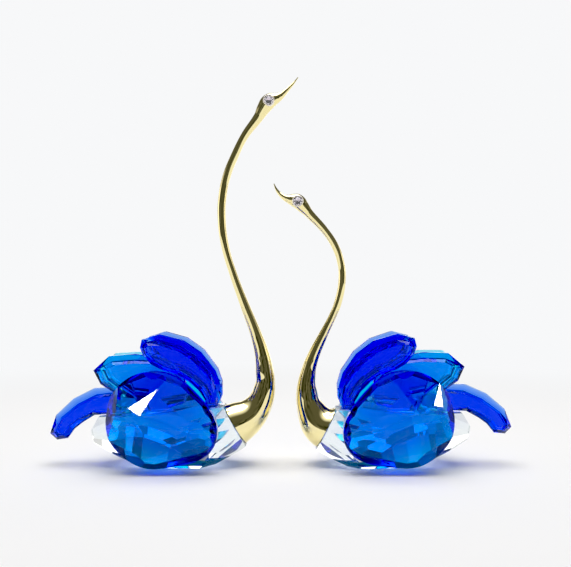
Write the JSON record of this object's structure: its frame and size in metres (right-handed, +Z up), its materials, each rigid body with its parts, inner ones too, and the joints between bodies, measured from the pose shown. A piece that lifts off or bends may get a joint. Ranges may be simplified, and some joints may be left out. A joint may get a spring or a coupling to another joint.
{
  "type": "crystal swan figurine pair",
  "caption": "Matched pair of facing swan figurines: faceted clear crystal bodies, blue crystal side gems and feathers, and tall curved gold necks with rhinestone eyes.",
  "frame": {"origin": "middle of the pair's bounding box, on the surface that both feet rest on", "axes": "+X from the tall swan towards the short swan, +Y away from the front viewer, +Z up"},
  "size_m": [0.2485, 0.06, 0.2089],
  "materials": {
    "clear_crystal": "polished clear optical crystal with ground flats",
    "blue_gem_crystal": "polished mid-blue crystal, faceted",
    "royal_blue_crystal": "polished royal blue crystal, bevelled",
    "azure_crystal": "polished azure crystal, bevelled",
    "polished_gold": "mirror-polished gold plating",
    "rhinestone": "faceted clear rhinestone with foiled back"
  },
  "bodies": {
    "tall_swan": {"tall_clear_body": "clear_crystal", "tall_left_side_gem": "blue_gem_crystal", "tall_right_side_gem": "blue_gem_crystal", "tall_left_upper_wing": "royal_blue_crystal", "tall_right_upper_wing": "royal_blue_crystal", "tall_left_middle_wing": "azure_crystal", "tall_right_middle_wing": "azure_crystal", "tall_tail_feather": "royal_blue_crystal", "tall_neck_casting": "polished_gold", "tall_left_eye_stone": "rhinestone", "tall_right_eye_stone": "rhinestone"},
    "short_swan": {"short_clear_body": "clear_crystal", "short_left_side_gem": "blue_gem_crystal", "short_right_side_gem": "blue_gem_crystal", "short_left_upper_wing": "royal_blue_crystal", "short_right_upper_wing": "royal_blue_crystal", "short_left_middle_wing": "azure_crystal", "short_right_middle_wing": "azure_crystal", "short_tail_feather": "royal_blue_crystal", "short_neck_casting": "polished_gold", "short_left_eye_stone": "rhinestone", "short_right_eye_stone": "rhinestone"}
  },
  "joints": [
    {"name": "short_swan_slide", "type": "slide", "parent": "tall_swan", "child": "short_swan", "axis": [1, 0, 0], "range_m": [-0.008, 0.1]}
  ]
}
